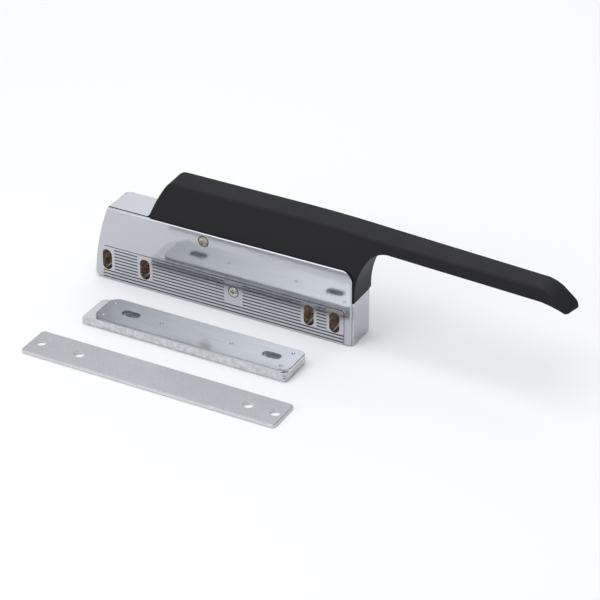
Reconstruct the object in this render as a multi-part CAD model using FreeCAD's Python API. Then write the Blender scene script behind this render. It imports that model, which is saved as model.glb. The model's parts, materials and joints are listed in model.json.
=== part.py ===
import FreeCAD, Part
import math
import os

# Edge-mount magnetic door latch with its strike and its spacer plate, set out on one level surface.
# Millimetres. +X runs along the latch towards the lever tip, +Y towards the door face, +Z up.
# The pieces are drawn from the latch body's front left bottom corner, then moved to the common origin.

os.makedirs("parts", exist_ok=True)
Vector = FreeCAD.Vector

# Latch body: the overall block
body_length = 203.0
body_depth = 28.2
body_height = 57.2
left_lean = 11.6            # how far the left end leans in at the top
left_bow = 2.2              # how far the left end bows out of its chord
foot_radius = 4.0           # bottom left corner
heel_radius = 1.2           # bottom right corner
shoulder_radius = 8.0       # top right corner of the cover plate
cap_round = 4.0             # back left corner of the housing, seen from above

# Cover plate: the ribbed front casting
plate_thickness = 2.0
plate_inset = 1.2           # how far the plate stops short of the right end
plate_round = 0.8           # round of its outer front edge
panel_step = 0.4            # how far the ribbed panel stands in front of the band above it
panel_margin = 6.4
panel_height = 26.4
panel_corner = 3.0
rib_pitch = 2.5
first_groove = 1.9
groove_count = 10
groove_width = 0.9
groove_depth = 0.8
full_grooves = 3            # the lowest grooves run the whole panel
slot_margin = 2.1           # plain land each side of a slot
screw_land = 7.2            # plain land each side of the magnet screw
seam_width = 0.9            # shadow seam behind the cover plate
seam_depth = 1.3

# Housing: the main casting
wall = 2.5
deck_height = 33.0          # top of the box under the handle
slot_positions = (10.2, 41.0, 169.9, 189.4)
slot_width = 7.8
slot_length = 15.8
slot_height = 15.8          # centre of the slots
slot_boss_wall = 2.2

# Fasteners that hold the cover plate from behind
cover_screw_places = ((25.6, 44.0), (25.6, 8.0), (179.65, 15.7))
cover_screw_radius = 1.9
cover_screw_head = 3.6
post_radius = 3.4
post_length = 7.0
post_gap = 0.1              # clearance of a post beside a slot's boss

# Pivot of the handle
pivot_x = 88.4
pivot_z = 51.0
pin_radius = 3.5
pin_head_radius = 4.15
pin_head_proud = 0.5
barrel_radius = 7.0
bush_radius = 5.2
bush_length = 6.0
running_gap = 0.05          # radial clearance of a turning or sliding fit
seat_gap = 0.02             # radial clearance of a seated piece
ear_radius = 7.0

# Handle: hood over the body, neck and lever
handle_gap = 0.4            # side clearance of the hood in the body
deck_gap = 0.4              # hood above the deck at rest
hood_left = 43.3
hood_end_lean = 13.2        # how far the left end leans in, up to the hood's top
hood_end_bow = 1.5
hood_end_radius = 8.0       # round between the left end and the top
hood_corner_radius = 1.5    # round between the front and the left end
crease_radius = 2.2         # round between the front and the top
hood_top = 84.5             # top of the hood at its back edge
top_tilt = 0.12             # fall of the top surface towards the front
lean_start = 57.0
lean_ratio = 0.3386         # lean of the front face, depth over height
hood_wall = 2.6
hood_flat_end = 158.0
shoulder_x = 215.0
shoulder_top = 82.6
lever_end_x = 329.0         # where the lever starts to curve down into its tip
lever_end_top = 80.3
lever_end_under = 69.5
tip_bend_x = 344.0          # where the curve runs out into the tip
tip_bend_top = 76.0
tip_x = 355.2
tip_skew = 1.8              # how much further the tip reaches at the back than at the front
tip_z = 67.0                # top of the blunt end
tip_blunt = 2.4             # thickness of the blunt end
tip_width_back = 23.0
tip_front = 5.2
tip_corner = 4.0
neck_bend_run = 6.2         # from the body's right end to where the neck's long curve meets its short one
neck_bend_z = 63.2
neck_run = 24.0             # from the body's right end to the end of the neck
under_start = 73.0          # underside height at the end of the neck curve
handle_travel = 10.0        # degrees from rest to fully lifted
trim_margin = 2.0           # extra degrees of relief under the hood's short end

# Release plunger under the handle's nose
nose_arm = 30.0             # from the pivot to the nose
nose_radius = 5.0
nose_gap = 0.3
plunger_radius = 4.0
plunger_head = 5.5
plunger_head_height = 2.4
guide_radius = 6.0
guide_flange = 7.2
guide_flange_height = 1.0
guide_bottom = 26.0
clip_radius = 6.4
clip_thickness = 1.0
clip_gap = 0.3
spring_radius = 5.3
spring_wire = 0.45
spring_coils = 7.5
tip_length = 5.0
tip_recess = 0.6

# Magnet pack
pack_start = 68.0
pack_length = 90.0
pole_thickness = 2.5
pole_height = 14.0
magnet_thickness = 11.0
magnet_recess = 0.5
magnet_split = 0.4
pack_middle = 13.35         # depth of the pack's centre line
pack_gap = 0.1
carrier_end_wall = 2.0
carrier_top = 24.0
carrier_side_gap = 0.3
window_gap = 0.3
magnet_screw_x = 111.5
magnet_screw_z = 17.5
magnet_screw_radius = 2.4
magnet_screw_head = 4.2
magnet_screw_gap = 0.15
screw_sink = 1.6            # depth of the countersunk head

# Heel bumper
bumper_x = 196.5
bumper_radius = 4.0
bumper_depth = 4.0
bumper_gap = 0.1

# Strike: shim, base, plate and rivets
strike_left = 25.0
strike_right = 184.8
strike_front = -59.7
strike_width = 28.4
shim_thickness = 1.6
shim_inset = 0.7
base_height = 6.9           # top of the base
ramp_length = 12.0
ramp_foot = 3.9             # height of the ramp's low end
base_corner = 2.5
plate_left = 34.6
plate_right = 185.1
strike_plate_thickness = 1.6
plate_corner = 7.5
plate_back_corner = 4.0
strike_slots = (57.2, 166.4)
strike_slot_width = 7.0
strike_slot_length = 14.0
rivet_places = ((40.5, 21.5), (40.5, 5.4), (81.5, 14.2), (135.8, 14.2), (178.0, 22.8), (178.0, 5.6))
rivet_radius = 1.3
rivet_proud = 0.15

# Spacer plate
spacer_left = 9.6
spacer_front = -110.3
spacer_length = 193.8
spacer_width = 27.9
spacer_thickness = 2.3
spacer_corner = 3.0
spacer_bevel = 0.5
spacer_holes = (7.5, 38.1, 167.5, 187.1)   # from the left end
spacer_hole_radius = 3.9


def place(plane, a, b, level):
    """A point of a drawing plane, in space."""
    if plane == "xz":
        return Vector(a, level, b)
    if plane == "yz":
        return Vector(level, a, b)
    return Vector(a, b, level)


def push(plane, distance):
    """The direction that a drawing plane is pulled along."""
    return {"xz": Vector(0, distance, 0), "yz": Vector(distance, 0, 0), "xy": Vector(0, 0, distance)}[plane]


def outline(plane, level, start, *steps):
    """A face from straight steps (a, b) and arc steps ((middle), (end))."""
    edges = []
    here = start
    for step in steps + (start,):
        if isinstance(step[0], tuple):
            middle, end = step
            edges.append(Part.Arc(place(plane, *here, level), place(plane, *middle, level),
                                  place(plane, *end, level)).toShape())
        else:
            end = step
            if math.dist(here, end) > 1e-6:
                edges.append(Part.LineSegment(place(plane, *here, level), place(plane, *end, level)).toShape())
        here = end
    return Part.Face(Part.Wire(edges))


def prism(plane, low, high, start, *steps):
    return outline(plane, low, start, *steps).extrude(push(plane, high - low))


def box(x0, x1, y0, y1, z0, z1):
    return Part.makeBox(x1 - x0, y1 - y0, z1 - z0, Vector(x0, y0, z0))


def rod(plane, a, b, radius, low, high):
    """A round bar square to a drawing plane."""
    return Part.makeCylinder(radius, high - low, place(plane, a, b, low), push(plane, 1))


def cone(plane, a, b, low_radius, high_radius, low, high):
    return Part.makeCone(low_radius, high_radius, high - low, place(plane, a, b, low), push(plane, 1))


def slot(plane, a, b, width, length, low, high, along_second):
    """A bar with round ends square to a drawing plane, longer along its first or second direction."""
    half = (length - width) / 2
    da, db = (0, half) if along_second else (half, 0)
    r = width / 2
    if along_second:
        return prism(plane, low, high, (a - r, b - db), ((a, b - db - r), (a + r, b - db)),
                     (a + r, b + db), ((a, b + db + r), (a - r, b + db)))
    return prism(plane, low, high, (a - da, b - r), (a + da, b - r), ((a + da + r, b), (a + da, b + r)),
                 (a - da, b + r), ((a - da - r, b), (a - da, b - r)))


def corner(cx, cz, radius, degrees):
    """The middle point of a round corner."""
    angle = math.radians(degrees)
    return (cx + radius * math.cos(angle), cz + radius * math.sin(angle))


def fuse(first, others):
    return first.multiFuse(list(others)).removeSplitter()


def cut(first, others):
    return first.cut(Part.makeCompound(list(others)))


def single(shape):
    """The one solid of a boolean result."""
    if len(shape.Solids) != 1:
        raise ValueError("expected one solid, found %d" % len(shape.Solids))
    return shape.Solids[0]


def facing(face, way):
    """Whether a face looks mostly along a direction."""
    u0, u1, v0, v1 = face.ParameterRange
    return face.normalAt((u0 + u1) / 2, (v0 + v1) / 2).dot(way) > 0.6


def edges_between(solid, first, *others):
    """The edges where a face that looks one way meets a face that looks one of the other ways."""
    found = []
    for edge in solid.Edges:
        sides = solid.ancestorsOfType(edge, Part.Face)
        pairs = (sides, sides[::-1])
        if any(facing(one, first) and any(facing(two, way) for way in others) for one, two in pairs):
            found.append(edge)
    return found


def left_end(height):
    """The bowed left end from the given height down to the foot: an arc step that goes downwards."""
    middle = (left_lean * 0.5 - left_bow, foot_radius + (body_height - foot_radius) * 0.5)
    return middle, (0.0, foot_radius)


# ---- directions, and derived places that several pieces share
toward_front, toward_back = Vector(0, -1, 0), Vector(0, 1, 0)
toward_left, toward_right = Vector(-1, 0, 0), Vector(1, 0, 0)
toward_top = Vector(0, 0, 1)
hood_front = plate_thickness + handle_gap
hood_back = body_depth - 0.3
back_inside = body_depth - wall
body_middle = body_depth / 2
nose_x = pivot_x - nose_arm
plunger_top = pivot_z - nose_radius - nose_gap
hood_bottom = deck_height + deck_gap
cap_end = pivot_x - math.hypot(pivot_x - hood_left, lean_start - pivot_z) - handle_gap
pack_end = pack_start + pack_length
pole_front_y = pack_middle - magnet_thickness / 2 - pole_thickness
pole_rear_y = pack_middle + magnet_thickness / 2
carrier_front = plate_thickness + carrier_side_gap
carrier_back = back_inside - carrier_side_gap
carrier_foot = wall + pack_gap
slot_reach = slot_width / 2 + slot_margin


def body_slots(low, high, grow=0.0):
    """The four upright screw slots."""
    return [slot("xz", x, slot_height, slot_width + 2 * grow, slot_length + 2 * grow, low, high, True)
            for x in slot_positions]


def cover_plate():
    r = shoulder_radius
    right = body_length - plate_inset
    plate = prism("xz", panel_step, plate_thickness,
                  (foot_radius, 0), (right - heel_radius, 0),
                  (corner(right - heel_radius, heel_radius, heel_radius, -45), (right, heel_radius)),
                  (right, body_height - r),
                  (corner(right - r, body_height - r, r, 45), (right - r, body_height)),
                  (left_lean, body_height), left_end(body_height),
                  (corner(foot_radius, foot_radius, foot_radius, 225), (foot_radius, 0)))
    outer_edges = edges_between(plate, toward_front, toward_left, toward_top, toward_right)
    plate = plate.makeFillet(plate_round, outer_edges)
    c = panel_corner
    x0, x1, top = panel_margin, body_length - panel_margin, panel_height
    panel = prism("xz", 0, plate_thickness, (x0, 0), (x1, 0), (x1, top - c),
                  (corner(x1 - c, top - c, c, 45), (x1 - c, top)), (x0 + c, top),
                  (corner(x0 + c, top - c, c, 135), (x0, top - c)))
    posts = [rod("xz", x, z, post_radius, plate_thickness - 0.2, plate_thickness + post_length)
             for x, z in cover_screw_places]
    bosses = body_slots(plate_thickness, plate_thickness + post_length + 1, slot_boss_wall + post_gap)
    posts = [cut(post, bosses) for post in posts]
    solid = fuse(plate, [panel] + posts)
    cuts = grooves() + body_slots(-1, plate_thickness + 1)
    cuts += [rod("xz", x, z, cover_screw_radius + seat_gap, plate_thickness, plate_thickness + post_length + 1)
             for x, z in cover_screw_places]
    cuts.append(rod("xz", pivot_x, pivot_z, pin_radius + seat_gap, -1, plate_thickness + 1))
    cuts.append(rod("xz", pivot_x, pivot_z, pin_head_radius + seat_gap, -1, panel_step + 0.8))
    cuts.append(rod("xz", magnet_screw_x, magnet_screw_z, magnet_screw_radius + magnet_screw_gap,
                    -1, plate_thickness + 1))
    cuts.append(cone("xz", magnet_screw_x, magnet_screw_z, magnet_screw_head + seat_gap,
                     magnet_screw_radius + magnet_screw_gap, 0, screw_sink))
    return single(cut(solid, cuts))


def groove_spans():
    """The stretches between the plain lands, where the upper grooves run."""
    stops = sorted([(x - slot_reach, x + slot_reach) for x in slot_positions]
                   + [(magnet_screw_x - screw_land, magnet_screw_x + screw_land)])
    return [(a[1], b[0]) for a, b in zip(stops, stops[1:])]


def grooves():
    cuts = []
    for row in range(groove_count):
        z = first_groove + row * rib_pitch
        full = row < full_grooves
        spans = [(panel_margin, body_length - panel_margin)] if full else groove_spans()
        for x0, x1 in spans:
            cuts.append(box(x0, x1, -1, groove_depth, z - groove_width / 2, z + groove_width / 2))
    return cuts


def housing_outline(inset, low, high):
    """The housing's side outline, moved inwards, as a prism."""
    right = body_length
    face = outline("xz", low, (foot_radius, 0), (right - heel_radius, 0),
                   (corner(right - heel_radius, heel_radius, heel_radius, -45), (right, heel_radius)),
                   (right, deck_height), (cap_end, deck_height), (cap_end, body_height),
                   (left_lean, body_height), left_end(body_height),
                   (corner(foot_radius, foot_radius, foot_radius, 225), (foot_radius, 0)))
    if inset:
        face = face.makeOffset2D(-inset)
    return face.extrude(Vector(0, high - low, 0))


def housing():
    shell = housing_outline(0, plate_thickness, body_depth)
    shell = shell.makeFillet(cap_round, edges_between(shell, toward_back, toward_left))
    hollow = housing_outline(wall, plate_thickness - 1, back_inside)
    solid = shell.cut(hollow)
    bosses = body_slots(plate_thickness, back_inside + 0.5, slot_boss_wall)
    bosses += [rod("xz", x, z, post_radius, plate_thickness + post_length + 0.2, back_inside + 0.5)
               for x, z in cover_screw_places]
    bosses.append(box(pivot_x - ear_radius, pivot_x + ear_radius, back_inside, body_depth,
                      deck_height - wall, pivot_z))
    bosses.append(rod("xz", pivot_x, pivot_z, ear_radius, back_inside, body_depth))
    solid = fuse(solid, bosses).common(
        fuse(housing_outline(0, plate_thickness, body_depth), [
            box(pivot_x - ear_radius, pivot_x + ear_radius, back_inside, body_depth, deck_height - 1, pivot_z),
            rod("xz", pivot_x, pivot_z, ear_radius, back_inside, body_depth)]))
    rim = housing_outline(0, plate_thickness - 1, plate_thickness + seam_width)
    rim_core = housing_outline(seam_depth, plate_thickness - 1, plate_thickness + seam_width)
    cuts = [rim.cut(rim_core).common(box(-1, cap_end, 0, body_depth, foot_radius, body_height + 1))]
    cuts += body_slots(0, body_depth + 1)
    cuts += [rod("xz", x, z, cover_screw_radius + seat_gap, plate_thickness, body_depth + 1)
             for x, z in cover_screw_places]
    cuts += [cone("xz", x, z, cover_screw_radius + seat_gap, cover_screw_head + seat_gap,
                  body_depth - screw_sink, body_depth) for x, z in cover_screw_places]
    cuts.append(rod("xz", pivot_x, pivot_z, pin_radius + seat_gap, back_inside - 1, body_depth + 1))
    cuts.append(rod("xz", magnet_screw_x, magnet_screw_z, magnet_screw_radius + seat_gap,
                    back_inside - 1, body_depth - 0.8))
    cuts.append(box(pack_start - window_gap, pack_end + window_gap, pole_front_y - window_gap,
                    pole_rear_y + pole_thickness + window_gap, -1, wall + 1))
    cuts.append(rod("xy", nose_x, body_middle, guide_radius + seat_gap, deck_height - wall - 1, deck_height + 1))
    cuts.append(rod("xy", nose_x, body_middle, plunger_radius + running_gap, -1, wall + 1))
    return single(cut(solid, cuts))


def cover_screws():
    screws = []
    for x, z in cover_screw_places:
        shank = rod("xz", x, z, cover_screw_radius, plate_thickness + 1, body_depth - 0.3)
        head = cone("xz", x, z, cover_screw_radius, cover_screw_head, body_depth - screw_sink, body_depth)
        cross = [box(x - 2.0, x + 2.0, body_depth - 1.2, body_depth + 1, z - 0.4, z + 0.4),
                 box(x - 0.4, x + 0.4, body_depth - 1.2, body_depth + 1, z - 2.0, z + 2.0)]
        screws.append(single(cut(fuse(shank, [head]), cross)))
    return Part.makeCompound(screws)


def magnet_screw():
    x, z = magnet_screw_x, magnet_screw_z
    shank = rod("xz", x, z, magnet_screw_radius, 0.5, body_depth - 1.2)
    head = cone("xz", x, z, magnet_screw_head, magnet_screw_radius, 0, screw_sink)
    dome = Part.makeSphere(10.0, Vector(x, 9.5, z)).common(rod("xz", x, z, magnet_screw_head, -1, 0))
    cross = [box(x - 2.2, x + 2.2, -1, 1.0, z - 0.45, z + 0.45),
             box(x - 0.45, x + 0.45, -1, 1.0, z - 2.2, z + 2.2)]
    return single(cut(fuse(shank, [head, dome]), cross))


def pivot_pin():
    shank = rod("xz", pivot_x, pivot_z, pin_radius, panel_step, body_depth - 0.3)
    head = rod("xz", pivot_x, pivot_z, pin_head_radius, panel_step - 0.1, panel_step + 0.8)
    cap_radius = (pin_head_radius ** 2 + pin_head_proud ** 2) / (2 * pin_head_proud)
    dome = Part.makeSphere(cap_radius, Vector(pivot_x, panel_step - pin_head_proud + cap_radius, pivot_z))
    dome = dome.common(rod("xz", pivot_x, pivot_z, pin_head_radius, -2, panel_step))
    return single(fuse(shank, [head, dome]))


def pivot_bush(low):
    outer = rod("xz", pivot_x, pivot_z, bush_radius, low, low + bush_length)
    return outer.cut(rod("xz", pivot_x, pivot_z, pin_radius + running_gap, low - 1, low + bush_length + 1))


def hood_end(inset):
    """The hood's leaning left end, from its top down to where the lean starts."""
    low = (hood_left + inset, lean_start)
    high = (low[0] + hood_end_lean, hood_top)
    middle = ((low[0] + high[0]) / 2 - hood_end_bow, (low[1] + high[1]) / 2)
    return high, (middle, low)


def handle_outer():
    # the top surface: its side curve pulled towards the front and down, so that it keeps its tilt
    run = 60.0
    knee = ((hood_flat_end + shoulder_x) / 2, hood_top - 0.3 * (hood_top - shoulder_top))
    bend = ((lever_end_x + tip_bend_x) / 2 + 1.0, (lever_end_top + tip_bend_top) / 2 + 1.1)
    face = outline("xz", hood_back, (hood_left - 20, -60), (hood_left - 20, hood_top), (hood_flat_end, hood_top),
                   (knee, (shoulder_x, shoulder_top)), (lever_end_x, lever_end_top),
                   (bend, (tip_bend_x, tip_bend_top)), (tip_x, tip_z), (tip_x, -60))
    upper = fuse(face.extrude(Vector(0, -run, -run * top_tilt)), [face.extrude(Vector(0, 10, 10 * top_tilt))])
    # ends and underside
    right = body_length
    bend_x = right + neck_bend_run
    trim = (pivot_x - hood_left) * math.tan(math.radians(handle_travel + trim_margin))
    lower = prism("xz", -20, 60,
                  (pivot_x, hood_bottom), (right, hood_bottom),
                  ((right + 1.7, (hood_bottom + neck_bend_z) / 2 + 2.5), (bend_x, neck_bend_z)),
                  ((bend_x + 5.4, under_start - 3.2), (right + neck_run, under_start)),
                  (lever_end_x + 5, lever_end_under),
                  ((tip_bend_x + 1, lever_end_under - 1.9), (tip_x, tip_z - tip_blunt)),
                  (tip_x, 110), (hood_left + hood_end_lean, 110), *hood_end(0), (hood_left, hood_bottom + trim))
    # front lean and flat back
    rise = 50.0
    section = prism("yz", hood_left - 5, tip_x + 5, (hood_front, 10), (hood_front, lean_start),
                    (hood_front + lean_ratio * rise, lean_start + rise),
                    (hood_back, lean_start + rise), (hood_back, 10))
    c = tip_corner
    plan = prism("xy", 0, 120, (hood_left - 5, -10), (right, -10), (right + 60, tip_front - 4.0),
                 (tip_x - tip_skew - c, tip_front),
                 (corner(tip_x - tip_skew - c, tip_front + c, c, -45), (tip_x - tip_skew, tip_front + c)),
                 (tip_x, tip_width_back - c), (corner(tip_x - c, tip_width_back - c, c, 45),
                                               (tip_x - c, tip_width_back)),
                 (right + 12, hood_back), (hood_left - 5, hood_back))
    solid = single(upper.common(lower).common(section).common(plan))
    solid = solid.makeFillet(hood_end_radius, edges_between(solid, toward_left, toward_top))
    solid = solid.makeFillet(crease_radius, edges_between(solid, toward_front, toward_top))
    return single(solid.makeFillet(hood_corner_radius, edges_between(solid, toward_front, toward_left)))


def handle_hollow(x0, x1, lean_left):
    """One pocket under the hood, open at the bottom."""
    top = hood_top - hood_wall - 0.6
    y0, y1 = hood_front + hood_wall, hood_back - hood_wall
    y_top = y0 + lean_ratio * (top - lean_start)
    pocket = prism("yz", x0, x1, (y0, 10), (y0, lean_start), (y_top, top - (y1 - y_top) * top_tilt),
                   (y1, top), (y1, 10))
    if lean_left:
        side = prism("xz", 0, 40, (x0, 10), (x1, 10), (x1, 110), (x0 + hood_end_lean, 110), *hood_end(hood_wall))
        pocket = pocket.common(side)
    return pocket


def handle():
    outer = handle_outer()
    body = cut(outer, [handle_hollow(hood_left + hood_wall, 148.0, True), handle_hollow(154.0, 188.0, False)])
    rib_back = back_inside - 0.3
    barrel = rod("xz", pivot_x, pivot_z, barrel_radius, hood_front, rib_back)
    pivot_rib = box(pivot_x - 2.5, pivot_x + 2.5, hood_front, hood_back, pivot_z, hood_top).common(outer)
    nose_rib = box(nose_x - 3, nose_x + 3, hood_front, hood_back, pivot_z + 3, hood_top).common(outer)
    body = fuse(body, [barrel, pivot_rib, nose_rib])
    reach = (pivot_z - deck_height) * math.tan(math.radians(handle_travel + 1))
    notch = [rod("xz", pivot_x, pivot_z, ear_radius + 1.4, rib_back, body_depth + 1),
             prism("xz", rib_back, body_depth + 1,
                   (pivot_x - ear_radius - 1.4 - reach, 20), (pivot_x + ear_radius + 1.4 + reach, 20),
                   (pivot_x + ear_radius + 1.4, pivot_z), (pivot_x - ear_radius - 1.4, pivot_z))]
    cuts = notch
    cuts.append(rod("xz", pivot_x, pivot_z, pin_radius + 0.6, 0, 30))
    cuts.append(rod("xz", pivot_x, pivot_z, bush_radius + seat_gap, hood_front - 1, hood_front + bush_length))
    cuts.append(rod("xz", pivot_x, pivot_z, bush_radius + seat_gap, rib_back - bush_length, rib_back + 1))
    cuts.append(nose_pad_blank(seat_gap))
    cuts.append(rod("xy", bumper_x, body_middle, bumper_radius + seat_gap, 20, hood_bottom + bumper_depth))
    return single(cut(body, cuts))


def nose_pad_blank(grow):
    """The round nose with the tongue that seats it in its rib."""
    y0, y1 = body_middle - 5 - grow, body_middle + 5 + grow
    nose = rod("xz", nose_x, pivot_z, nose_radius + grow, y0, y1)
    tongue = box(nose_x - 1.5 - grow, nose_x + 1.5 + grow, y0, y1, pivot_z, pivot_z + 11 + grow)
    return fuse(nose, [tongue])


def heel_bumper():
    return rod("xy", bumper_x, body_middle, bumper_radius, deck_height + bumper_gap, hood_bottom + bumper_depth)


def plunger():
    x, y = nose_x, body_middle
    shank = rod("xy", x, y, plunger_radius, tip_recess + tip_length, plunger_top - 0.2)
    head = rod("xy", x, y, plunger_head, plunger_top - plunger_head_height, plunger_top)
    stub = rod("xy", x, y, 2.0, tip_recess + tip_length - 3, tip_recess + tip_length + 0.1)
    clip_z = guide_bottom - clip_gap - clip_thickness
    groove = rod("xy", x, y, plunger_radius + 1, clip_z, clip_z + clip_thickness)
    groove = groove.cut(rod("xy", x, y, plunger_radius - 0.6, clip_z - 1, clip_z + clip_thickness + 1))
    return single(fuse(shank, [head, stub]).cut(groove))


def plunger_tip():
    x, y = nose_x, body_middle
    tip = rod("xy", x, y, plunger_radius, tip_recess, tip_recess + tip_length)
    tip = tip.makeFillet(0.8, [e for e in tip.Edges if abs(e.CenterOfMass.z - tip_recess) < 1e-6])
    top = tip_recess + tip_length
    return tip.cut(rod("xy", x, y, 2.0 + seat_gap, top - 3 - seat_gap, top + 1))


def plunger_clip():
    x, y = nose_x, body_middle
    low = guide_bottom - clip_gap - clip_thickness
    ring = rod("xy", x, y, clip_radius, low, low + clip_thickness - seat_gap)
    mouth = box(x, x + clip_radius + 1, y - 2.2, y + 2.2, low - 1, low + clip_thickness + 1)
    return single(cut(ring, [rod("xy", x, y, plunger_radius - 0.6 + seat_gap, low - 1, low + 5), mouth]))


def plunger_guide():
    x, y = nose_x, body_middle
    tube = rod("xy", x, y, guide_radius, guide_bottom, deck_height)
    flange = rod("xy", x, y, guide_flange, deck_height, deck_height + guide_flange_height)
    bore = rod("xy", x, y, plunger_radius + running_gap, guide_bottom - 1, deck_height + 5)
    return single(fuse(tube, [flange]).cut(bore))


def plunger_spring():
    bottom = wall + spring_wire + 0.1
    top = guide_bottom - clip_gap - clip_thickness - spring_wire - 0.1
    helix = Part.makeHelix((top - bottom) / spring_coils, top - bottom, spring_radius)
    ring = Part.Wire(Part.makeCircle(spring_wire, Vector(spring_radius, 0, 0), Vector(0, 1, 0)))
    coil = Part.Wire(helix).makePipeShell([ring], True, True)
    coil.translate(Vector(nose_x, body_middle, bottom))
    return single(coil)


def pole_plate(low):
    plate = box(pack_start, pack_end, low, low + pole_thickness, 0, pole_height)
    return plate.makeFillet(0.4, [e for e in plate.Edges if abs(e.CenterOfMass.z) < 1e-6 and e.Length > 10])


def magnet(index):
    length = (pack_length - magnet_split) / 2
    x0 = pack_start + index * (length + magnet_split)
    return box(x0, x0 + length, pack_middle - magnet_thickness / 2, pack_middle + magnet_thickness / 2,
               magnet_recess, pole_height)


def magnet_carrier():
    end = pack_gap + carrier_end_wall
    block = box(pack_start - end, pack_end + end, carrier_front, carrier_back, carrier_foot, carrier_top)
    block = block.makeFillet(1.0, [e for e in block.Edges if abs(e.CenterOfMass.z - carrier_top) < 1e-6])
    pocket = box(pack_start - pack_gap, pack_end + pack_gap, pole_front_y - pack_gap,
                 pole_rear_y + pole_thickness + pack_gap, 0, pole_height + pack_gap)
    hole = rod("xz", magnet_screw_x, magnet_screw_z, magnet_screw_radius + magnet_screw_gap, 0, body_depth)
    return single(cut(block, [pocket, hole]))


def strike_outline(low, high, left, right, inset, corners):
    """A plate of the strike with round corners: front left, front right, back right, back left."""
    x0, x1 = left + inset, right - inset
    y0, y1 = strike_front + inset, strike_front + strike_width - inset
    fl, fr, br, bl = corners
    return prism("xy", low, high, (x0 + fl, y0), (x1 - fr, y0),
                 (corner(x1 - fr, y0 + fr, fr, -45), (x1, y0 + fr)),
                 (x1, y1 - br), (corner(x1 - br, y1 - br, br, 45), (x1 - br, y1)), (x0 + bl, y1),
                 (corner(x0 + bl, y1 - bl, bl, 135), (x0, y1 - bl)), (x0, y0 + fl),
                 (corner(x0 + fl, y0 + fl, fl, 225), (x0 + fl, y0)))


def strike_slot_cuts():
    y = strike_front + strike_width / 2
    return [slot("xy", x, y, strike_slot_width, strike_slot_length, -1, 20, False) for x in strike_slots]


def rivet_cuts():
    return [rod("xy", x, strike_front + y, rivet_radius + seat_gap, -1, 20) for x, y in rivet_places]


def strike_shim():
    c = base_corner - shim_inset
    plate = strike_outline(0, shim_thickness, strike_left, strike_right, shim_inset, (c, c, c, c))
    return single(cut(plate, strike_slot_cuts() + rivet_cuts()))


def strike_base():
    c = base_corner
    block = strike_outline(shim_thickness, base_height, strike_left, strike_right, 0, (c + 1, c, c, c + 1))
    ramp = prism("xz", strike_front - 5, strike_front + strike_width + 5,
                 (strike_left - 5, ramp_foot - 5 * (base_height - ramp_foot) / ramp_length),
                 (strike_left + ramp_length, base_height), (strike_left + ramp_length, base_height + 5),
                 (strike_left - 5, base_height + 5))
    line = 0.5
    ring = []
    for z in (shim_thickness + 1.5, shim_thickness + 3.2):
        outer = box(strike_right - 30, strike_right + 5, strike_front - 5, strike_front + strike_width + 5,
                    z - line / 2, z + line / 2)
        core = strike_outline(z - 1, z + 1, strike_right - 40, strike_right, line, (c, c, c, c))
        ring.append(outer.cut(core).common(box(strike_right - 3, strike_right + 5, strike_front - 5,
                                               strike_front + strike_width + 5, 0, 20)))
    return single(cut(block, [ramp] + ring + strike_slot_cuts() + rivet_cuts()))


def strike_plate():
    top = base_height + strike_plate_thickness
    plate = strike_outline(base_height, top, plate_left, plate_right, 0,
                           (plate_corner, plate_corner, plate_back_corner, plate_corner))
    plate = plate.makeFillet(0.35, [e for e in plate.Edges if abs(e.CenterOfMass.z - top) < 1e-6])
    return single(cut(plate, strike_slot_cuts() + rivet_cuts()))


def strike_rivets():
    top = base_height + strike_plate_thickness + rivet_proud
    rivets = []
    for x, y in rivet_places:
        rivet = rod("xy", x, strike_front + y, rivet_radius, shim_thickness * 0.5, top)
        dimple = cone("xy", x, strike_front + y, 0.2, 0.7, top - 0.5, top + 0.01)
        rivets.append(rivet.cut(dimple))
    return Part.makeCompound(rivets)


def spacer_plate():
    x0, x1 = spacer_left, spacer_left + spacer_length
    y0, y1 = spacer_front, spacer_front + spacer_width
    c = spacer_corner
    plate = prism("xy", 0, spacer_thickness, (x0 + c, y0), (x1 - c, y0),
                  (corner(x1 - c, y0 + c, c, -45), (x1, y0 + c)),
                  (x1, y1 - c), (corner(x1 - c, y1 - c, c, 45), (x1 - c, y1)), (x0 + c, y1),
                  (corner(x0 + c, y1 - c, c, 135), (x0, y1 - c)), (x0, y0 + c),
                  (corner(x0 + c, y0 + c, c, 225), (x0 + c, y0)))
    plate = plate.makeChamfer(spacer_bevel, [e for e in plate.Edges
                                             if abs(e.CenterOfMass.z - spacer_thickness) < 1e-6])
    holes = [rod("xy", x0 + x, (y0 + y1) / 2, spacer_hole_radius, -1, spacer_thickness + 1) for x in spacer_holes]
    return single(cut(plate, holes))


pieces = {
    "housing": housing(),
    "cover_plate": cover_plate(),
    "cover_screws": cover_screws(),
    "magnet_carrier": magnet_carrier(),
    "magnet_left": magnet(0),
    "magnet_right": magnet(1),
    "pole_plate_front": pole_plate(pole_front_y),
    "pole_plate_rear": pole_plate(pole_rear_y),
    "magnet_screw": magnet_screw(),
    "pivot_pin": pivot_pin(),
    "pivot_bush_front": pivot_bush(hood_front),
    "pivot_bush_rear": pivot_bush(back_inside - 0.3 - bush_length),
    "handle": handle(),
    "nose_pad": nose_pad_blank(0),
    "heel_bumper": heel_bumper(),
    "release_plunger": plunger(),
    "plunger_tip": plunger_tip(),
    "plunger_clip": plunger_clip(),
    "plunger_guide": plunger_guide(),
    "plunger_spring": plunger_spring(),
    "strike_shim": strike_shim(),
    "strike_base": strike_base(),
    "strike_plate": strike_plate(),
    "strike_rivets": strike_rivets(),
    "spacer_plate": spacer_plate(),
}

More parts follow.
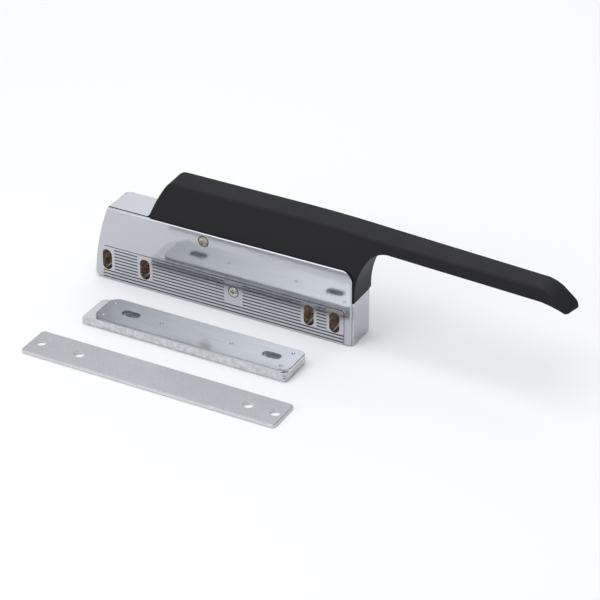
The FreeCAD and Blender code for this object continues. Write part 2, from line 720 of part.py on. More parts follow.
bounds = Part.makeCompound(list(pieces.values())).optimalBoundingBox(False)
origin = Vector((bounds.XMin + bounds.XMax) / 2, (bounds.YMin + bounds.YMax) / 2, bounds.ZMin)
print("origin in the drawing frame: %.4f %.4f %.4f" % (origin.x, origin.y, origin.z))
for name, shape in pieces.items():
    moved = shape.copy()
    moved.translate(-origin)
    moved.exportStep("parts/%s.step" % name)
    print("%-18s solids %d valid %s volume %.1f" % (name, len(moved.Solids), moved.isValid(), moved.Volume))
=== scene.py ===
import json
import math
import bmesh
import bpy
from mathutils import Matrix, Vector
from mathutils.bvhtree import BVHTree


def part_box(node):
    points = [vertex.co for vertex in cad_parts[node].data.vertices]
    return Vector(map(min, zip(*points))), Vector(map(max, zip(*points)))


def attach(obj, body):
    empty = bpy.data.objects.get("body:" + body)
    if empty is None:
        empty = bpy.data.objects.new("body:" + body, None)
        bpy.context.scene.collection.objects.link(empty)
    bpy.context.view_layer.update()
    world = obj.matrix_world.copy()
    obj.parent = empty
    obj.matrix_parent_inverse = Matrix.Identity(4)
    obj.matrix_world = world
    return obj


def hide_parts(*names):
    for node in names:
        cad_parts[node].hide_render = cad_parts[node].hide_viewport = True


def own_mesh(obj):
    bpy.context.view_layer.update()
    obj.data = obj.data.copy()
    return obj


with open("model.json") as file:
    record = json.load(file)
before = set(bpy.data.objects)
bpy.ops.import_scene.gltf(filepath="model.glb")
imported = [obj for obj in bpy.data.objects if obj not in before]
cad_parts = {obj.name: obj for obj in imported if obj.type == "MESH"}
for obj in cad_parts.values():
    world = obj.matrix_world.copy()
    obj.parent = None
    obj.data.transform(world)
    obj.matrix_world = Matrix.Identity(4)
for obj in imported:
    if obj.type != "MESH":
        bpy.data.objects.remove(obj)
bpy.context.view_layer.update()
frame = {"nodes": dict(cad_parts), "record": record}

nodes = frame["nodes"]
bodyOf = {node: body for body, held in frame["record"]["behaviour"]["bodies"].items() for node in held}
mm = 0.001
print("frame loaded:", len(nodes), "nodes")


cameraFacts = {
    "azimuth": 28.14, "elevation": 31.19, "lens": 150.94, "sensor": 36.0,
    "nearest": 0.05, "farthest": 20.0,
    # from the front left bottom corner of the cover plate
    "offset": (0.84738, -1.27903, 0.90412),
}


def addCamera():
    low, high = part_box("cover_plate")
    data = bpy.data.cameras.new("latchCamera")
    data.lens = cameraFacts["lens"]
    data.sensor_width = cameraFacts["sensor"]
    data.clip_start = cameraFacts["nearest"]
    data.clip_end = cameraFacts["farthest"]
    camera = bpy.data.objects.new("latchCamera", data)
    bpy.context.scene.collection.objects.link(camera)
    camera.location = Vector(low) + Vector(cameraFacts["offset"])
    tilt = math.radians(90 - cameraFacts["elevation"])
    camera.rotation_euler = (tilt, 0, math.radians(cameraFacts["azimuth"]))
    bpy.context.scene.camera = camera


def addNode(tree, kind, inputs=None, **settings):
    # one shader node with its settings, its constants and its incoming links
    made = tree.nodes.new(kind)
    for name, value in settings.items():
        setattr(made, name, value)
    for name, value in (inputs or {}).items():
        if isinstance(value, bpy.types.NodeSocket):
            tree.links.new(value, made.inputs[name])
        else:
            made.inputs[name].default_value = value
    return made


studio = {
    "floorSize": 6.0, "floorColour": (0.95, 0.95, 0.95, 1), "floorDrop": 0.3 * mm,
    "floorRough": 0.85, "floorShine": 0.1,
    "skyColour": (0.88, 0.9, 0.95, 1), "skyStrength": 0.53,
    # name, place, width, power, the point it looks at; metres and watts
    "lamps": [
        ("overheadSoftbox", (-0.1, -0.35, 1.7), 1.7, 18, (0, -0.05, 0)),
        ("frontSoftbox", (-0.9, -1.4, 0.8), 1.0, 5, (0, -0.05, 0)),
        ("backSoftbox", (-0.25, 1.25, 0.95), 1.4, 4.4, (0, 0, 0.02)),
    ],
}


def addStudio():
    bpy.context.scene.view_settings.view_transform = "Standard"
    mesh = bpy.data.meshes.new("studioFloor")
    work = bmesh.new()
    bmesh.ops.create_grid(work, x_segments=1, y_segments=1, size=studio["floorSize"] / 2)
    bmesh.ops.translate(work, vec=(0, 0, -studio["floorDrop"]), verts=work.verts)
    work.to_mesh(mesh)
    work.free()
    floor = bpy.data.objects.new("studioFloor", mesh)
    bpy.context.scene.collection.objects.link(floor)
    material = bpy.data.materials.new("paleFloor")
    material.use_nodes = True
    shader = material.node_tree.nodes["Principled BSDF"]
    shader.inputs["Base Color"].default_value = studio["floorColour"]
    shader.inputs["Roughness"].default_value = studio["floorRough"]
    shader.inputs["Specular IOR Level"].default_value = studio["floorShine"]
    mesh.materials.append(material)

    world = bpy.data.worlds.new("studioSky")
    world.use_nodes = True
    background = world.node_tree.nodes["Background"]
    background.inputs["Color"].default_value = studio["skyColour"]
    background.inputs["Strength"].default_value = studio["skyStrength"]
    bpy.context.scene.world = world

    for name, place, size, power, target in studio["lamps"]:
        data = bpy.data.lights.new(name, "AREA")
        data.size = size
        data.energy = power
        lamp = bpy.data.objects.new(name, data)
        bpy.context.scene.collection.objects.link(lamp)
        lamp.location = place
        aim = Vector(target) - Vector(place)
        lamp.rotation_euler = aim.to_track_quat("-Z", "Y").to_euler()


addCamera()
addStudio()
print("camera, floor and lamps placed")


def startGroup(name, inputs, outputs):
    group = bpy.data.node_groups.new(name, "ShaderNodeTree")
    for label, value in inputs.items():
        socket = group.interface.new_socket(label, in_out="INPUT", socket_type="NodeSocketFloat")
        socket.default_value = value
    for label, kind in outputs.items():
        group.interface.new_socket(label, in_out="OUTPUT", socket_type=kind)
    start = group.nodes.new("NodeGroupInput")
    end = group.nodes.new("NodeGroupOutput")
    return group, start, end


def objectPoint(tree):
    return addNode(tree, "ShaderNodeTexCoord").outputs["Object"]


def makeEdgeWear():
    # where broken edges are rubbed: the stored edge mask, broken up by noise
    group, start, end = startGroup("edgeWear", {"Scale": 400.0, "Amount": 1.0}, {"Mask": "NodeSocketFloat"})
    edge = addNode(group, "ShaderNodeAttribute", attribute_name="edge")
    noise = addNode(group, "ShaderNodeTexNoise", {
        "Vector": objectPoint(group), "Scale": start.outputs["Scale"], "Detail": 3.0})
    patchy = addNode(group, "ShaderNodeMapRange", {
        "Value": noise.outputs["Fac"], "From Min": 0.35, "From Max": 0.6, "To Min": 0.25, "To Max": 1.0})
    worn = addNode(group, "ShaderNodeMath", {0: edge.outputs["Fac"], 1: patchy.outputs["Result"]},
                   operation="MULTIPLY")
    scaled = addNode(group, "ShaderNodeMath", {0: worn.outputs[0], 1: start.outputs["Amount"]},
                     operation="MULTIPLY")
    group.links.new(scaled.outputs[0], end.inputs["Mask"])
    return group


def makeSmudge():
    # slow changes of gloss from handling and polishing
    group, start, end = startGroup("smudge", {"Scale": 30.0, "Least": 0.1, "Most": 0.2},
                                   {"Rough": "NodeSocketFloat", "Tone": "NodeSocketFloat"})
    noise = addNode(group, "ShaderNodeTexNoise", {
        "Vector": objectPoint(group), "Scale": start.outputs["Scale"], "Detail": 5.0, "Roughness": 0.6})
    rough = addNode(group, "ShaderNodeMapRange", {
        "Value": noise.outputs["Fac"], "From Min": 0.3, "From Max": 0.7,
        "To Min": start.outputs["Least"], "To Max": start.outputs["Most"]})
    group.links.new(rough.outputs["Result"], end.inputs["Rough"])
    group.links.new(noise.outputs["Fac"], end.inputs["Tone"])
    return group


def makeGrain():
    # a fine even texture: orange peel on paint, tooth on zinc and plastic
    group, start, end = startGroup("grain", {"Scale": 1500.0, "Detail": 2.0},
                                   {"Height": "NodeSocketFloat", "Speck": "NodeSocketFloat"})
    noise = addNode(group, "ShaderNodeTexNoise", {
        "Vector": objectPoint(group), "Scale": start.outputs["Scale"], "Detail": start.outputs["Detail"]})
    speck = addNode(group, "ShaderNodeMapRange", {
        "Value": noise.outputs["Fac"], "From Min": 0.4, "From Max": 0.66})
    group.links.new(noise.outputs["Fac"], end.inputs["Height"])
    group.links.new(speck.outputs["Result"], end.inputs["Speck"])
    return group


def makeBrushing():
    # long fine scratches that run along X
    group, start, end = startGroup("brushing", {"Scale": 900.0, "Stretch": 0.02},
                                   {"Height": "NodeSocketFloat", "Streak": "NodeSocketFloat"})
    ratio = addNode(group, "ShaderNodeCombineXYZ", {"X": start.outputs["Stretch"], "Y": 1.0, "Z": 1.0})
    along = addNode(group, "ShaderNodeVectorMath", {0: objectPoint(group), 1: ratio.outputs["Vector"]},
                    operation="MULTIPLY")
    noise = addNode(group, "ShaderNodeTexNoise", {
        "Vector": along.outputs["Vector"], "Scale": start.outputs["Scale"], "Detail": 3.0})
    streak = addNode(group, "ShaderNodeMapRange", {
        "Value": noise.outputs["Fac"], "From Min": 0.35, "From Max": 0.65})
    group.links.new(noise.outputs["Fac"], end.inputs["Height"])
    group.links.new(streak.outputs["Result"], end.inputs["Streak"])
    return group


edgeWear = makeEdgeWear()
smudge = makeSmudge()
grain = makeGrain()
brushing = makeBrushing()


def addGroup(tree, group, **inputs):
    made = tree.nodes.new("ShaderNodeGroup")
    made.node_tree = group
    for name, value in inputs.items():
        made.inputs[name].default_value = value
    return made


def startMaterial(name, **constants):
    material = bpy.data.materials.new(name)
    material.use_nodes = True
    tree = material.node_tree
    shader = tree.nodes["Principled BSDF"]
    for label, value in constants.items():
        shader.inputs[label.replace("_", " ")].default_value = value
    return material, tree, shader


def mixColour(tree, factor, first, second):
    # the second colour over the first, as much as the factor says
    mix = addNode(tree, "ShaderNodeMix", data_type="RGBA")
    for socket, value in zip((mix.inputs[0], mix.inputs[6], mix.inputs[7]), (factor, first, second)):
        if isinstance(value, bpy.types.NodeSocket):
            tree.links.new(value, socket)
        else:
            socket.default_value = value
    return mix.outputs[2]


def mixValue(tree, factor, first, second):
    mix = addNode(tree, "ShaderNodeMix", data_type="FLOAT")
    for socket, value in zip((mix.inputs[0], mix.inputs[2], mix.inputs[3]), (factor, first, second)):
        if isinstance(value, bpy.types.NodeSocket):
            tree.links.new(value, socket)
        else:
            socket.default_value = value
    return mix.outputs[0]


def addBump(tree, shader, height, strength, distance):
    bump = addNode(tree, "ShaderNodeBump", {"Strength": strength, "Distance": distance, "Height": height})
    tree.links.new(bump.outputs["Normal"], shader.inputs["Normal"])


chromeFinish = {
    "colour": (0.515, 0.53, 0.558, 1), "worn": (0.66, 0.67, 0.69, 1),
    "smooth": 0.05, "rough": 0.1, "polish": 28.0, "ripple": 55.0, "rippleDepth": 0.1 * mm,
    "wear": {"Scale": 300.0, "Amount": 0.8},
}


def chromeMaterial():
    # bright chrome plate with the slight ripple of the casting under it
    material, tree, shader = startMaterial("brightChrome", Metallic=1.0)
    polish = addGroup(tree, smudge, Scale=chromeFinish["polish"], Least=chromeFinish["smooth"],
                      Most=chromeFinish["rough"])
    wear = addGroup(tree, edgeWear, **chromeFinish["wear"])
    tree.links.new(mixColour(tree, wear.outputs["Mask"], chromeFinish["colour"], chromeFinish["worn"]),
                   shader.inputs["Base Color"])
    tree.links.new(polish.outputs["Rough"], shader.inputs["Roughness"])
    ripple = addGroup(tree, grain, Scale=chromeFinish["ripple"], Detail=1.0)
    addBump(tree, shader, ripple.outputs["Height"], 0.5, chromeFinish["rippleDepth"])
    return material


shadeFinish = {
    "colour": (0.012, 0.012, 0.013, 1), "tone": (0.022, 0.022, 0.023, 1), "rough": 0.8, "shine": 0.1,
    "tooth": 1100.0, "toothDepth": 0.05 * mm,
}


def shadeMaterial():
    # painted shade, drawn near black, for the bottom of a seam and the edge of a step
    material, tree, shader = startMaterial("seamShade", Specular_IOR_Level=shadeFinish["shine"],
                                           Roughness=shadeFinish["rough"])
    tooth = addGroup(tree, grain, Scale=shadeFinish["tooth"], Detail=2.0)
    tree.links.new(mixColour(tree, tooth.outputs["Speck"], shadeFinish["colour"], shadeFinish["tone"]),
                   shader.inputs["Base Color"])
    addBump(tree, shader, tooth.outputs["Height"], 0.5, shadeFinish["toothDepth"])
    return material


copperFinish = {
    "dark": (0.24, 0.16, 0.09, 1), "light": (0.75, 0.6, 0.42, 1), "metallic": 0.45,
    "turn": 35.0, "stretch": (0.25, 1.0, 1.6), "streaks": 420.0, "streakDepth": 0.1 * mm,
    "smooth": 0.32, "rough": 0.5, "polish": 200.0,
}


def copperMaterial():
    # the copper underlayer that shows inside the slots, with slanting lighter streaks that are painted
    # highlights
    material, tree, shader = startMaterial("copperUnderlayer", Metallic=copperFinish["metallic"])
    turned = addNode(tree, "ShaderNodeMapping", {
        "Vector": objectPoint(tree), "Rotation": (0, math.radians(copperFinish["turn"]), 0),
        "Scale": copperFinish["stretch"]})
    noise = addNode(tree, "ShaderNodeTexNoise", {
        "Vector": turned.outputs["Vector"], "Scale": copperFinish["streaks"], "Detail": 3.0})
    # painted highlight: slanting streaks that mix towards the light colour
    streak = addNode(tree, "ShaderNodeMapRange", {
        "Value": noise.outputs["Fac"], "From Min": 0.48, "From Max": 0.7})
    tree.links.new(mixColour(tree, streak.outputs["Result"], copperFinish["dark"], copperFinish["light"]),
                   shader.inputs["Base Color"])
    polish = addGroup(tree, smudge, Scale=copperFinish["polish"], Least=copperFinish["smooth"],
                      Most=copperFinish["rough"])
    tree.links.new(polish.outputs["Rough"], shader.inputs["Roughness"])
    addBump(tree, shader, noise.outputs["Fac"], 0.5, copperFinish["streakDepth"])
    return material


paintFinish = {
    "colour": (0.0115, 0.0115, 0.0125, 1), "worn": (0.034, 0.034, 0.035, 1), "shine": 0.2,
    "smooth": 0.42, "rough": 0.52, "gloss": 22.0, "peel": 1300.0, "peelDepth": 0.06 * mm,
    "wear": {"Scale": 350.0, "Amount": 0.6},
}


def blackPaint():
    # satin black powder coat with a fine orange peel, rubbed a little paler along its edges
    material, tree, shader = startMaterial("blackPowderCoat", Specular_IOR_Level=paintFinish["shine"])
    gloss = addGroup(tree, smudge, Scale=paintFinish["gloss"], Least=paintFinish["smooth"],
                     Most=paintFinish["rough"])
    wear = addGroup(tree, edgeWear, **paintFinish["wear"])
    peel = addGroup(tree, grain, Scale=paintFinish["peel"], Detail=2.0)
    tree.links.new(mixColour(tree, wear.outputs["Mask"], paintFinish["colour"], paintFinish["worn"]),
                   shader.inputs["Base Color"])
    tree.links.new(gloss.outputs["Rough"], shader.inputs["Roughness"])
    addBump(tree, shader, peel.outputs["Height"], 0.35, paintFinish["peelDepth"])
    return material


metalWear = {"Scale": 500.0, "Amount": 0.9}


def steelMaterial(name, colour, worn, least, most, grainScale, grainDepth, metallic=1.0, tone=None):
    # plain metal with slow gloss changes, fine grain and broken edges of another tone
    material, tree, shader = startMaterial(name, Metallic=metallic)
    polish = addGroup(tree, smudge, Scale=60.0, Least=least, Most=most)
    wear = addGroup(tree, edgeWear, **metalWear)
    tooth = addGroup(tree, grain, Scale=grainScale, Detail=2.0)
    base = mixColour(tree, tooth.outputs["Speck"], colour, tone or [0.86 * part for part in colour[:3]] + [1])
    tree.links.new(mixColour(tree, wear.outputs["Mask"], base, worn), shader.inputs["Base Color"])
    tree.links.new(polish.outputs["Rough"], shader.inputs["Roughness"])
    addBump(tree, shader, tooth.outputs["Height"], 0.6, grainDepth)
    return material


strikeFinish = {
    "darkReflectionEnd": (0.31, 0.325, 0.335, 1), "lightReflectionEnd": (0.66, 0.675, 0.685, 1),
    "smooth": 0.15, "rough": 0.22, "polish": 18.0,
    "scratches": 1300.0, "stretch": 0.02, "streak": 0.88, "scratchDepth": 0.015 * mm,
}


def strikeTopMaterial():
    # brushed steel, darker towards the ramp end and lighter towards the far end: a painted reflection
    # gradient
    material, tree, shader = startMaterial("brushedStrikePlate", Metallic=1.0)
    low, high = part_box("strike_plate")
    place = addNode(tree, "ShaderNodeSeparateXYZ", {"Vector": objectPoint(tree)})
    along = addNode(tree, "ShaderNodeMapRange", {
        "Value": place.outputs["X"], "From Min": low[0], "From Max": high[0]})
    # painted reflection: dark at the ramp end, light at the far end
    tone = mixColour(tree, along.outputs["Result"], strikeFinish["darkReflectionEnd"], strikeFinish["lightReflectionEnd"])
    lines = addGroup(tree, brushing, Scale=strikeFinish["scratches"], Stretch=strikeFinish["stretch"])
    depth = mixValue(tree, lines.outputs["Streak"], 1.0, strikeFinish["streak"])
    shaded = addNode(tree, "ShaderNodeVectorMath", {0: tone, "Scale": depth}, operation="SCALE")
    tree.links.new(shaded.outputs["Vector"], shader.inputs["Base Color"])
    polish = addGroup(tree, smudge, Scale=strikeFinish["polish"], Least=strikeFinish["smooth"],
                      Most=strikeFinish["rough"])
    tree.links.new(polish.outputs["Rough"], shader.inputs["Roughness"])
    addBump(tree, shader, lines.outputs["Height"], 0.5, strikeFinish["scratchDepth"])
    return material


def ringedMaterial(name, node, colour, tone, rimShade, inner, outer, least, most, grainScale, grainDepth):
    # a round head whose outer band is drawn near black: painted shade where the head sits in its seat
    material, tree, shader = startMaterial(name, Metallic=1.0)
    low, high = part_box(node)
    centre = ((low[0] + high[0]) / 2, 0, (low[2] + high[2]) / 2)
    offset = addNode(tree, "ShaderNodeVectorMath", {0: objectPoint(tree), 1: centre}, operation="SUBTRACT")
    flat = addNode(tree, "ShaderNodeVectorMath", {0: offset.outputs["Vector"], 1: (1, 0, 1)},
                   operation="MULTIPLY")
    reach = addNode(tree, "ShaderNodeVectorMath", {0: flat.outputs["Vector"]}, operation="LENGTH")
    ring = addNode(tree, "ShaderNodeMapRange", {
        "Value": reach.outputs["Value"], "From Min": inner * mm, "From Max": outer * mm})
    tooth = addGroup(tree, grain, Scale=grainScale, Detail=2.0)
    base = mixColour(tree, tooth.outputs["Speck"], colour, tone)
    tree.links.new(mixColour(tree, ring.outputs["Result"], base, rimShade), shader.inputs["Base Color"])
    polish = addGroup(tree, smudge, Scale=60.0, Least=least, Most=most)
    tree.links.new(polish.outputs["Rough"], shader.inputs["Roughness"])
    addBump(tree, shader, tooth.outputs["Height"], 0.6, grainDepth)
    return material


rubbedSteel = (0.9, 0.91, 0.92, 1)


def brushedMaterial(name, colour, dark, least, most, stretch, scale, depth):
    # rolled or brushed metal with scratches along its length
    material, tree, shader = startMaterial(name, Metallic=1.0)
    polish = addGroup(tree, smudge, Scale=18.0, Least=least, Most=most)
    lines = addGroup(tree, brushing, Scale=scale, Stretch=stretch)
    wear = addGroup(tree, edgeWear, **metalWear)
    base = mixColour(tree, lines.outputs["Streak"], colour, dark)
    tree.links.new(mixColour(tree, wear.outputs["Mask"], base, rubbedSteel), shader.inputs["Base Color"])
    tree.links.new(polish.outputs["Rough"], shader.inputs["Roughness"])
    addBump(tree, shader, lines.outputs["Height"], 0.5, depth)
    return material


def softMaterial(name, colour, tone, least, most, grainScale, grainDepth):
    # moulded plastic, rubber or ceramic with a fine tooth
    material, tree, shader = startMaterial(name)
    gloss = addGroup(tree, smudge, Scale=80.0, Least=least, Most=most)
    tooth = addGroup(tree, grain, Scale=grainScale, Detail=2.0)
    tree.links.new(mixColour(tree, tooth.outputs["Speck"], colour, tone), shader.inputs["Base Color"])
    tree.links.new(gloss.outputs["Rough"], shader.inputs["Roughness"])
    addBump(tree, shader, tooth.outputs["Height"], 0.6, grainDepth)
    return material


# colours come first, then the least and most roughness, then the scale and depth of the grain
# a ringed head also gives the radii, in millimetres, between which its painted shade comes in
materials = {
    "chrome": chromeMaterial(),
    "copper": copperMaterial(),
    "shade": shadeMaterial(),
    # dark steel drawn as painted shade in the recesses between the panel's ribs and along the strike plate's
    # rounded top edge
    "groove": steelMaterial("paintedShadeSteel", (0.2, 0.205, 0.22, 1), (0.3, 0.31, 0.33, 1), 0.25, 0.4, 700.0,
                            0.03 * mm),
    "paint": blackPaint(),
    "screw": steelMaterial("screwSteel", (0.56, 0.55, 0.52, 1), (0.8, 0.79, 0.76, 1), 0.22, 0.36, 900.0,
                           0.04 * mm),
    "magnetScrew": ringedMaterial("magnetScrewSteel", "magnet_screw", (0.66, 0.65, 0.62, 1),
                                  (0.45, 0.44, 0.42, 1), (0.06, 0.06, 0.06, 1), 3.3, 3.9, 0.2, 0.34, 900.0,
                                  0.05 * mm),
    "pin": ringedMaterial("dullPlatedPin", "pivot_pin", (0.55, 0.51, 0.44, 1), (0.2, 0.18, 0.145, 1),
                          (0.05, 0.046, 0.04, 1), 3.1, 3.8, 0.3, 0.45, 500.0, 0.2 * mm),
    "spring": steelMaterial("springSteel", (0.4, 0.4, 0.41, 1), (0.6, 0.6, 0.6, 1), 0.25, 0.4, 1200.0,
                            0.02 * mm),
    "bronze": steelMaterial("sinteredBronze", (0.5, 0.33, 0.16, 1), (0.7, 0.5, 0.28, 1), 0.35, 0.5, 1600.0,
                            0.04 * mm),
    "pole": brushedMaterial("poleSteel", (0.52, 0.53, 0.54, 1), (0.4, 0.41, 0.42, 1), 0.25, 0.38, 0.03,
                            1100.0, 0.02 * mm),
    "strikeSide": steelMaterial("platedStrikeBase", (0.66, 0.67, 0.69, 1), (0.88, 0.88, 0.89, 1), 0.14, 0.3,
                                320.0, 0.025 * mm, tone=(0.5, 0.505, 0.52, 1)),
    "strikeTop": strikeTopMaterial(),
    # the rivets go almost black along their rounded edges
    "rivet": steelMaterial("rivetSteel", (0.75, 0.76, 0.77, 1), (0.03, 0.03, 0.032, 1), 0.18, 0.3, 900.0,
                           0.02 * mm),
    "zinc": steelMaterial("frostedZinc", (0.62, 0.615, 0.635, 1), (0.25, 0.25, 0.26, 1), 0.42, 0.54, 1500.0,
                          0.05 * mm),
    # a lighter, less metallic zinc that is painted light on the strike slot walls, the ramp and the spacer's
    # sides
    "zincPaintedLight": steelMaterial("paintedLightZincSide", (0.72, 0.72, 0.73, 1), (0.5, 0.5, 0.51, 1), 0.3, 0.42,
                                1500.0, 0.03 * mm, metallic=0.25),
    "acetal": softMaterial("naturalAcetal", (0.78, 0.77, 0.72, 1), (0.72, 0.71, 0.66, 1), 0.35, 0.45, 900.0,
                           0.02 * mm),
    "carrier": softMaterial("carrierPlastic", (0.04, 0.04, 0.043, 1), (0.055, 0.055, 0.06, 1), 0.45, 0.6,
                            1300.0, 0.04 * mm),
    "rubber": softMaterial("blackRubber", (0.015, 0.015, 0.015, 1), (0.025, 0.025, 0.025, 1), 0.6, 0.75,
                           1100.0, 0.05 * mm),
    "ceramic": softMaterial("magnetCeramic", (0.05, 0.05, 0.054, 1), (0.075, 0.075, 0.08, 1), 0.5, 0.65,
                            800.0, 0.06 * mm),
}
print("materials made:", len(materials))


# angles in degrees; overrun is how far a round may lie from the sharp shape, as a share of its width
roundFacts = {
    "merge": 0.002 * mm, "flat": 0.3, "sharp": 28.0, "creased": 40.0, "segments": 2, "overrun": 0.32,
}


def refine(node, finish, width):
    # a copy of a CAD node: doubles merged, flat faces joined, sharp edges rounded and marked for wear
    work = bmesh.new()
    work.from_mesh(nodes[node].data)
    bmesh.ops.remove_doubles(work, verts=work.verts, dist=roundFacts["merge"])
    bmesh.ops.dissolve_limit(work, angle_limit=math.radians(roundFacts["flat"]), verts=work.verts,
                             edges=work.edges, delimit={"NORMAL"})
    limit = math.radians(roundFacts["sharp"])
    sharp = [edge for edge in work.edges if len(edge.link_faces) == 2 and edge.calc_face_angle() > limit]
    mask = work.verts.layers.float.new("edge")
    if width:
        surface = BVHTree.FromBMesh(work)
        low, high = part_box(node)
        made = bmesh.ops.bevel(work, geom=sharp, offset=width * mm, offset_type="OFFSET", affect="EDGES",
                               segments=roundFacts["segments"], profile=0.5, material=-1,
                               clamp_overlap=False, loop_slide=True)
        # a round that overran a short edge goes back onto the piece's own surface
        for vert in work.verts:
            nearest, _, _, gap = surface.find_nearest(vert.co)
            if gap > roundFacts["overrun"] * width * mm:
                vert.co = nearest
            for axis in range(3):
                vert.co[axis] = min(max(vert.co[axis], low[axis]), high[axis])
        rounds = set(made["faces"])
        for vert in work.verts:
            if vert.link_faces and all(face in rounds for face in vert.link_faces):
                vert[mask] = 1.0
    bmesh.ops.triangulate(work, faces=[face for face in work.faces if len(face.verts) > 4])
    for face in work.faces:
        face.smooth = True
    creased = math.radians(roundFacts["creased"])
    for edge in work.edges:
        edge.smooth = len(edge.link_faces) == 2 and edge.calc_face_angle() < creased
    mesh = bpy.data.meshes.new(node + "Finished")
    work.to_mesh(mesh)
    work.free()
    if "custom_normal" in mesh.attributes:
        mesh.attributes.remove(mesh.attributes["custom_normal"])
    mesh.materials.clear()
    mesh.materials.append(materials[finish])
    piece = bpy.data.objects.new(node + "Finished", mesh)
    bpy.context.scene.collection.objects.link(piece)
    even = piece.modifiers.new("evenNormals", "WEIGHTED_NORMAL")
    even.weight = 100
    even.keep_sharp = True
    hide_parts(node)
    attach(piece, bodyOf[node])
    return piece


def paintFaces(piece, finish, chosen, edgeOn=False):
    # a second finish on the faces that the test picks by their middle
    # edgeOn leaves out the faces that look to the front or the back
    slot = piece.data.materials.find(materials[finish].name)
    if slot < 0:
        piece.data.materials.append(materials[finish])
        slot = len(piece.data.materials) - 1
    for polygon in piece.data.polygons:
        if chosen(polygon.center) and not (edgeOn and abs(polygon.normal.y) > 0.5):
            polygon.material_index = slot


def within(point, box, margin, first, second):
    # whether a point is inside a box, or this near to it, along two axes
    low, high = box
    return all(low[axis] - margin < point[axis] < high[axis] + margin for axis in (first, second))


def openingBoxes(start):
    return [opening["box_m"] for opening in frame["record"]["physics"]["openings"]
            if opening["name"].startswith(start)]


bodySlots = openingBoxes("body_slot")
# depths are measured back from the panel's front face
plateFacts = {
    "liningStart": 0.55 * mm, "liningEnd": 0.6 * mm, "slotReach": 1.0 * mm, "landReach": 1.6 * mm,
    "grooveStart": 0.05 * mm, "grooveFloor": 0.7 * mm, "grooveEnd": 0.86 * mm, "stepShadeEnd": 0.34 * mm,
    "panelTop": 26.9 * mm, "panelStart": 6.5 * mm, "panelStop": 5.3 * mm, "panelFoot": 2 * mm,
    "screwLand": 1 * mm, "seamShadeWidth": 1.3 * mm, "seamShadeFoot": 1 * mm, "housingEdge": 0.3,
}


def makeBodyShells():
    # the plate's outer edge is round already, and its faces have to stay flat
    cover = refine("cover_plate", "chrome", 0)
    housing = refine("housing", "chrome", plateFacts["housingEdge"])
    low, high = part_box("cover_plate")
    front, panelTop = low[1], low[2] + plateFacts["panelTop"]
    panelStart, panelStop = low[0] + plateFacts["panelStart"], high[0] - plateFacts["panelStop"]
    panelFoot = low[2] + plateFacts["panelFoot"]
    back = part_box("housing")[1][1] - plateFacts["liningEnd"]
    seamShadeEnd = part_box("housing")[0][1] + plateFacts["seamShadeWidth"]
    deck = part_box("heel_bumper")[0][2] + plateFacts["seamShadeFoot"]
    screwLow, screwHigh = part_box("magnet_screw")
    landLow, landHigh = screwLow[0] - plateFacts["screwLand"], screwHigh[0] + plateFacts["screwLand"]

    def inSlot(point, reach):
        return any(within(point, box, plateFacts[reach], 0, 2) for box in bodySlots)

    def inGroove(point):
        deep = plateFacts["grooveStart"] < point.y - front < plateFacts["grooveEnd"]
        atScrew = landLow < point.x < landHigh and screwLow[2] < point.z < screwHigh[2]
        onPanel = panelStart < point.x < panelStop and point.z < panelTop
        return deep and onPanel and not inSlot(point, "landReach") and not atScrew

    def onFloor(point):
        return inGroove(point) and point.y - front > plateFacts["grooveFloor"]

    def onStep(point):
        return plateFacts["grooveStart"] < point.y - front < plateFacts["stepShadeEnd"] and point.z > panelFoot

    def inLining(point):
        return plateFacts["liningStart"] + front < point.y < back and inSlot(point, "slotReach")

    # painted shade: the walls and floors of the recesses between the panel's ribs, in dark steel instead of
    # chrome
    paintFaces(cover, "groove", inGroove, edgeOn=True)
    paintFaces(cover, "groove", onFloor)
    # painted shade: a dark line on the faces of the panel's shallow step
    paintFaces(cover, "shade", onStep, edgeOn=True)
    paintFaces(cover, "copper", inLining)
    paintFaces(housing, "copper", inLining)
    # painted shade: near-black housing faces along the seam behind the cover plate, in a band wider than the
    # seam itself
    paintFaces(housing, "shade", lambda point: point.y < seamShadeEnd and point.z > deck)


makeBodyShells()
print("body shells made")

strikeSlots = openingBoxes("strike_slot")
flatFacts = {
    "wallReach": 0.1 * mm, "topSkin": 0.05 * mm, "footSkin": 0.2 * mm, "chamfer": 0.6 * mm, "ramp": 12 * mm,
    "rampSkin": 0.6 * mm, "rampFoot": 3 * mm, "plateRound": 0.36 * mm, "roundSkin": 0.04 * mm,
    "baseEdge": 0.3, "shimEdge": 0.2, "spacerEdge": 0.15,
}


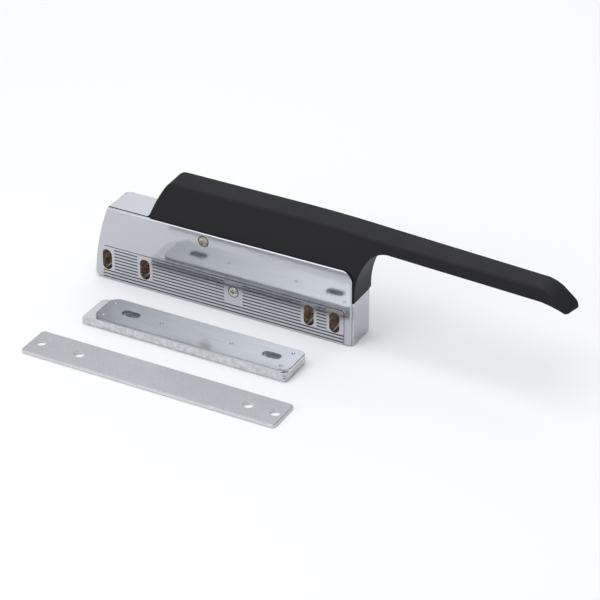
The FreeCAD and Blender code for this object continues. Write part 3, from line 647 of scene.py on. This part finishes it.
def makeFlatPieces():
    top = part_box("strike_plate")[1][2] - flatFacts["topSkin"]

    def inStrikeSlot(point):
        reach = flatFacts["wallReach"]
        return point.z < top and any(within(point, box, reach, 0, 1) for box in strikeSlots)

    rampLow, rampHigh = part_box("strike_base")

    def onRamp(point):
        skin = flatFacts["rampSkin"]
        along = rampLow[0] + skin < point.x < rampLow[0] + flatFacts["ramp"]
        across = rampLow[1] + skin < point.y < rampHigh[1] - skin
        return along and across and point.z > rampLow[2] + flatFacts["rampFoot"] - skin

    plate = refine("strike_plate", "strikeTop", 0)
    base = refine("strike_base", "strikeSide", flatFacts["baseEdge"])
    shim = refine("strike_shim", "strikeSide", flatFacts["shimEdge"])
    for piece in (plate, base, shim):
        # painted light: the strike slot walls and the ramp in lighter zinc
        paintFaces(piece, "zincPaintedLight", inStrikeSlot)
    paintFaces(base, "zincPaintedLight", onRamp)
    # painted shade: a dark line along the strike plate's rounded top edge
    roundLow = top + flatFacts["topSkin"] - flatFacts["plateRound"]
    paintFaces(plate, "groove", lambda point: roundLow < point.z < top + flatFacts["roundSkin"])
    low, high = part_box("spacer_plate")
    sideLow, sideHigh = low[2] + flatFacts["footSkin"], high[2] - flatFacts["chamfer"]
    spacer = refine("spacer_plate", "zinc", flatFacts["spacerEdge"])
    # painted light: the spacer's sides in lighter zinc
    paintFaces(spacer, "zincPaintedLight", lambda point: sideLow < point.z < sideHigh)


makeFlatPieces()
print("strike and spacer made")

# node, finish, width of its broken edges in millimetres
plainPieces = [
    ("handle", "paint", 0.5),
    ("pivot_pin", "pin", 0.15),
    ("magnet_screw", "magnetScrew", 0.08),
    ("strike_rivets", "rivet", 0.3),
    ("pole_plate_front", "pole", 0.15),
    ("pole_plate_rear", "pole", 0.15),
    ("magnet_carrier", "carrier", 0.2),
    ("heel_bumper", "rubber", 0.3),
    ("plunger_guide", "acetal", 0.15),
    ("plunger_tip", "rubber", 0.3),
]
for node, finish, width in plainPieces:
    refine(node, finish, width)
print("plain pieces made:", len(plainPieces))


def makeSpring():
    # a copy of the coil with no rounds, given a mesh of its own
    spring = refine("plunger_spring", "spring", 0)
    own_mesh(spring)


makeSpring()
print("spring made")

# nodes whose own mesh is right as it stands
keptNodes = {
    "cover_screws": "screw", "magnet_left": "ceramic", "magnet_right": "ceramic",
    "pivot_bush_front": "bronze", "pivot_bush_rear": "bronze", "nose_pad": "acetal",
    "release_plunger": "pole", "plunger_clip": "spring",
}
for node, finish in keptNodes.items():
    mesh = nodes[node].data
    if mesh.materials:
        for index in range(len(mesh.materials)):
            mesh.materials[index] = materials[finish]
    else:
        mesh.materials.append(materials[finish])
print("kept nodes finished:", len(keptNodes))
